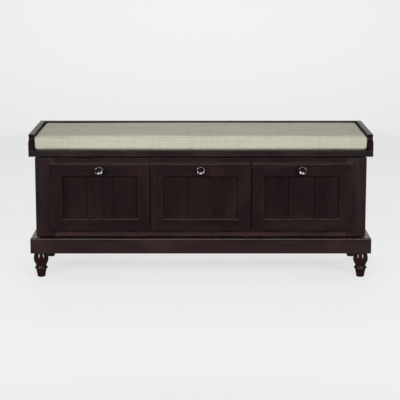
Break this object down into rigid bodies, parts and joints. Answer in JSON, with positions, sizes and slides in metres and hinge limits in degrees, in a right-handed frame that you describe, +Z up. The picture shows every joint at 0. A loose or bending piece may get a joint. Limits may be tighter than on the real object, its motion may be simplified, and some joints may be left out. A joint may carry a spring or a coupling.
{
  "type": "storage bench",
  "caption": "Hall storage bench: dark wood cabinet of drop-down flap fronts under a walled seat tray with a loose linen cushion, on a plinth with turned feet.",
  "frame": {"origin": "on the floor, at the centre of the overall width and of the overall depth with the knobs", "axes": "+X to the sitter's left when seated (to the right in a front view), -Y is the front, +Z up"},
  "size_m": [1.22, 0.43, 0.5195],
  "materials": {
    "espresso_wood": "satin lacquer, dark espresso stain",
    "espresso_board": "matt stained board",
    "oatmeal_linen": "woven oatmeal linen",
    "dark_pewter": "polished dark pewter",
    "dark_bronze": "dark bronzed steel",
    "zinc_steel": "zinc plated"
  },
  "bodies": {
    "bench": {"seat_board": "espresso_wood", "side_wall_left": "espresso_wood", "side_wall_right": "espresso_wood", "back_wall": "espresso_wood", "tray_battens": "espresso_wood", "post_left": "espresso_wood", "post_right": "espresso_wood", "top_rail": "espresso_wood", "bottom_rail": "espresso_wood", "side_panel_left": "espresso_wood", "side_panel_right": "espresso_wood", "back_panel": "espresso_board", "divider_left": "espresso_wood", "divider_right": "espresso_wood", "bottom_panel": "espresso_wood", "plinth_blocks": "espresso_wood", "plinth_front": "espresso_wood", "plinth_back": "espresso_wood", "plinth_left": "espresso_wood", "plinth_right": "espresso_wood", "foot_front_left": "espresso_wood", "foot_front_right": "espresso_wood", "foot_back_left": "espresso_wood", "foot_back_right": "espresso_wood", "foot_bolts": "zinc_steel", "hinge_frame_leaves": "dark_bronze", "hinge_pins": "dark_bronze", "stay_posts": "zinc_steel", "wood_screws": "zinc_steel"},
    "left_flap": {"left_door_stiles": "espresso_wood", "left_door_rails": "espresso_wood", "left_door_panel": "espresso_wood", "left_knob": "dark_pewter", "left_knob_screw": "zinc_steel", "left_hinge_leaves": "dark_bronze", "left_stay_bracket": "zinc_steel", "left_door_screws": "zinc_steel"},
    "left_rod": {"left_stay_rod": "zinc_steel"},
    "left_swivel": {"left_stay_swivel": "zinc_steel"},
    "centre_flap": {"centre_door_stiles": "espresso_wood", "centre_door_rails": "espresso_wood", "centre_door_panel": "espresso_wood", "centre_knob": "dark_pewter", "centre_knob_screw": "zinc_steel", "centre_hinge_leaves": "dark_bronze", "centre_stay_bracket": "zinc_steel", "centre_door_screws": "zinc_steel"},
    "centre_rod": {"centre_stay_rod": "zinc_steel"},
    "centre_swivel": {"centre_stay_swivel": "zinc_steel"},
    "right_flap": {"right_door_stiles": "espresso_wood", "right_door_rails": "espresso_wood", "right_door_panel": "espresso_wood", "right_knob": "dark_pewter", "right_knob_screw": "zinc_steel", "right_hinge_leaves": "dark_bronze", "right_stay_bracket": "zinc_steel", "right_door_screws": "zinc_steel"},
    "right_rod": {"right_stay_rod": "zinc_steel"},
    "right_swivel": {"right_stay_swivel": "zinc_steel"},
    "cushion": {"cushion": "oatmeal_linen"}
  },
  "joints": [
    {"name": "left_flap_hinge", "type": "hinge", "parent": "bench", "child": "left_flap", "pos_m": [-0.3595, -0.1715, 0.169], "axis": [1, 0, 0], "range_deg": [0, 90]},
    {"name": "left_rod_pivot", "type": "hinge", "parent": "left_flap", "child": "left_rod", "pos_m": [-0.20275, -0.16246, 0.30871], "axis": [1, 0, 0], "range_deg": [-45, 0]},
    {"name": "left_swivel_pivot", "type": "hinge", "parent": "bench", "child": "left_swivel", "pos_m": [-0.20275, -0.10214, 0.29061], "axis": [1, 0, 0], "range_deg": [0, 45]},
    {"name": "centre_flap_hinge", "type": "hinge", "parent": "bench", "child": "centre_flap", "pos_m": [0, -0.1715, 0.169], "axis": [1, 0, 0], "range_deg": [0, 90]},
    {"name": "centre_rod_pivot", "type": "hinge", "parent": "centre_flap", "child": "centre_rod", "pos_m": [0.15675, -0.16246, 0.30871], "axis": [1, 0, 0], "range_deg": [-45, 0]},
    {"name": "centre_swivel_pivot", "type": "hinge", "parent": "bench", "child": "centre_swivel", "pos_m": [0.15675, -0.10214, 0.29061], "axis": [1, 0, 0], "range_deg": [0, 45]},
    {"name": "right_flap_hinge", "type": "hinge", "parent": "bench", "child": "right_flap", "pos_m": [0.3595, -0.1715, 0.169], "axis": [1, 0, 0], "range_deg": [0, 90]},
    {"name": "right_rod_pivot", "type": "hinge", "parent": "right_flap", "child": "right_rod", "pos_m": [0.20275, -0.16246, 0.30871], "axis": [1, 0, 0], "range_deg": [-45, 0]},
    {"name": "right_swivel_pivot", "type": "hinge", "parent": "bench", "child": "right_swivel", "pos_m": [0.20275, -0.10214, 0.29061], "axis": [1, 0, 0], "range_deg": [0, 45]},
    {"name": "cushion_lift", "type": "slide", "parent": "bench", "child": "cushion", "axis": [0, 0, 1], "range_m": [0, 0.08]}
  ],
  "couplings": [
    {"joint": "left_rod_pivot", "follows": "left_flap_hinge", "ratio": -0.5},
    {"joint": "left_swivel_pivot", "follows": "left_flap_hinge", "ratio": 0.5},
    {"joint": "centre_rod_pivot", "follows": "centre_flap_hinge", "ratio": -0.5},
    {"joint": "centre_swivel_pivot", "follows": "centre_flap_hinge", "ratio": 0.5},
    {"joint": "right_rod_pivot", "follows": "right_flap_hinge", "ratio": -0.5},
    {"joint": "right_swivel_pivot", "follows": "right_flap_hinge", "ratio": 0.5}
  ]
}
